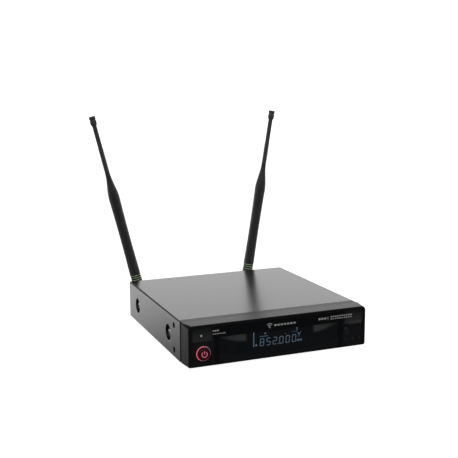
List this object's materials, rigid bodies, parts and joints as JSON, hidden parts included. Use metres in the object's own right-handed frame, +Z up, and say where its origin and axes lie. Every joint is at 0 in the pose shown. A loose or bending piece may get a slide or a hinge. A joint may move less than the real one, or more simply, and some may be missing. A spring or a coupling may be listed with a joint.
{
  "type": "wireless microphone receiver",
  "caption": "Half-rack metal receiver with a black gloss display front, power and menu buttons, rear sockets, a level knob and folding whip antennas.",
  "frame": {"origin": "centre of the metal case's underside, level with the case bottom; the rubber feet reach 3 mm below it", "axes": "+X to the right seen from the front, +Y to the back, +Z up"},
  "size_m": [0.2536, 0.2584, 0.2574],
  "materials": {
    "top_cover": "satin black paint",
    "chassis_base": "satin black paint",
    "rear_panel": "satin black paint",
    "ear_nuts": "zinc plated",
    "feet": "matt",
    "side_screws": "bright zinc plated",
    "chassis_screws": "zinc plated",
    "front_bezel": "satin moulded ABS",
    "front_panel": "gloss",
    "display_lens": "smoked clear",
    "lcd_frame": "satin",
    "lcd_glass": "polished",
    "lcd_backlight": "diffusing",
    "power_light_ring": "diffusing, lit red",
    "power_button": "satin moulded ABS",
    "power_plunger": "satin",
    "power_switch": "satin",
    "set_button": "satin moulded ABS",
    "set_plunger": "satin",
    "sync_button": "satin moulded ABS",
    "down_button": "satin moulded ABS",
    "up_button": "satin moulded ABS",
    "button_switches": "satin",
    "indicator_led": "clear",
    "front_pcb": "solder mask",
    "main_pcb": "solder mask",
    "pcb_standoffs": "plain",
    "pcb_screws": "zinc plated",
    "tuner_shields": "tinned",
    "main_ics": "moulded",
    "electrolytic_caps": "sleeved",
    "voltage_regulator": "moulded",
    "heatsink": "anodised",
    "flat_cable_connectors": "satin",
    "flat_cable": "flexible",
    "coax_leads": "flexible",
    "antenna_sockets": "nickel plated",
    "antenna_socket_nuts": "nickel plated",
    "antenna_couplings": "nickel plated",
    "xlr_socket": "black nickel",
    "xlr_pins": "silver plated",
    "xlr_screws": "black zinc",
    "output_jack": "moulded",
    "output_jack_nut": "nickel plated",
    "dc_inlet": "moulded",
    "level_pot": "plated",
    "level_shaft": "machined",
    "level_knob": "satin moulded ABS",
    "elbow_left": "satin moulded",
    "hinge_pin_left": "zinc plated",
    "sleeve_left": "satin moulded",
    "rings_left": "coloured",
    "mast_left": "satin moulded",
    "tip_left": "satin moulded",
    "elbow_right": "satin moulded",
    "hinge_pin_right": "zinc plated",
    "sleeve_right": "satin moulded",
    "rings_right": "coloured",
    "mast_right": "satin moulded",
    "tip_right": "satin moulded"
  },
  "bodies": {
    "receiver": {"top_cover": "top_cover", "chassis_base": "chassis_base", "rear_panel": "rear_panel", "ear_nuts": "ear_nuts", "feet": "feet", "side_screws": "side_screws", "chassis_screws": "chassis_screws", "front_bezel": "front_bezel", "front_panel": "front_panel", "display_lens": "display_lens", "lcd_frame": "lcd_frame", "lcd_glass": "lcd_glass", "lcd_backlight": "lcd_backlight", "power_light_ring": "power_light_ring", "power_switch": "power_switch", "button_switches": "button_switches", "indicator_led": "indicator_led", "front_pcb": "front_pcb", "main_pcb": "main_pcb", "pcb_standoffs": "pcb_standoffs", "pcb_screws": "pcb_screws", "tuner_shields": "tuner_shields", "main_ics": "main_ics", "electrolytic_caps": "electrolytic_caps", "voltage_regulator": "voltage_regulator", "heatsink": "heatsink", "flat_cable_connectors": "flat_cable_connectors", "flat_cable": "flat_cable", "coax_leads": "coax_leads", "antenna_sockets": "antenna_sockets", "antenna_socket_nuts": "antenna_socket_nuts", "antenna_couplings": "antenna_couplings", "xlr_socket": "xlr_socket", "xlr_pins": "xlr_pins", "xlr_screws": "xlr_screws", "output_jack": "output_jack", "output_jack_nut": "output_jack_nut", "dc_inlet": "dc_inlet", "level_pot": "level_pot"},
    "power_button": {"power_button": "power_button", "power_plunger": "power_plunger"},
    "set_button": {"set_button": "set_button", "set_plunger": "set_plunger"},
    "sync_button": {"sync_button": "sync_button"},
    "down_button": {"down_button": "down_button"},
    "up_button": {"up_button": "up_button"},
    "level_knob": {"level_knob": "level_knob", "level_shaft": "level_shaft"},
    "elbow_left": {"elbow_left": "elbow_left", "hinge_pin_left": "hinge_pin_left"},
    "whip_left": {"sleeve_left": "sleeve_left", "rings_left": "rings_left", "mast_left": "mast_left", "tip_left": "tip_left"},
    "elbow_right": {"elbow_right": "elbow_right", "hinge_pin_right": "hinge_pin_right"},
    "whip_right": {"sleeve_right": "sleeve_right", "rings_right": "rings_right", "mast_right": "mast_right", "tip_right": "tip_right"}
  },
  "joints": [
    {"name": "power_press", "type": "slide", "parent": "receiver", "child": "power_button", "axis": [0, 1, 0], "range_m": [0, 0.0012], "stiffness_N_per_m": 1200, "springref_m": -0.0005},
    {"name": "set_press", "type": "slide", "parent": "receiver", "child": "set_button", "axis": [0, 1, 0], "range_m": [0, 0.0008], "stiffness_N_per_m": 800, "springref_m": -0.0005},
    {"name": "sync_press", "type": "slide", "parent": "receiver", "child": "sync_button", "axis": [0, 1, 0], "range_m": [0, 0.0008], "stiffness_N_per_m": 800, "springref_m": -0.0005},
    {"name": "down_press", "type": "slide", "parent": "receiver", "child": "down_button", "axis": [0, 1, 0], "range_m": [0, 0.0008], "stiffness_N_per_m": 800, "springref_m": -0.0005},
    {"name": "up_press", "type": "slide", "parent": "receiver", "child": "up_button", "axis": [0, 1, 0], "range_m": [0, 0.0008], "stiffness_N_per_m": 800, "springref_m": -0.0005},
    {"name": "level_turn", "type": "hinge", "parent": "receiver", "child": "level_knob", "pos_m": [-0.045, 0.1, 0.022], "axis": [0, 1, 0], "range_deg": [-150, 150]},
    {"name": "antenna_swivel_left", "type": "hinge", "parent": "receiver", "child": "elbow_left", "pos_m": [-0.0845, 0.127, 0.022], "axis": [0, 1, 0], "range_deg": [-76.1, 28.9]},
    {"name": "antenna_fold_left", "type": "hinge", "parent": "elbow_left", "child": "whip_left", "pos_m": [-0.0845, 0.127, 0.022], "axis": [-0.9707, 0, -0.2402], "range_deg": [0, 90]},
    {"name": "antenna_swivel_right", "type": "hinge", "parent": "receiver", "child": "elbow_right", "pos_m": [0.0665, 0.127, 0.022], "axis": [0, 1, 0], "range_deg": [-24.4, 80.6]},
    {"name": "antenna_fold_right", "type": "hinge", "parent": "elbow_right", "child": "whip_right", "pos_m": [0.0665, 0.127, 0.022], "axis": [-0.9866, 0, 0.1633], "range_deg": [0, 90]}
  ]
}
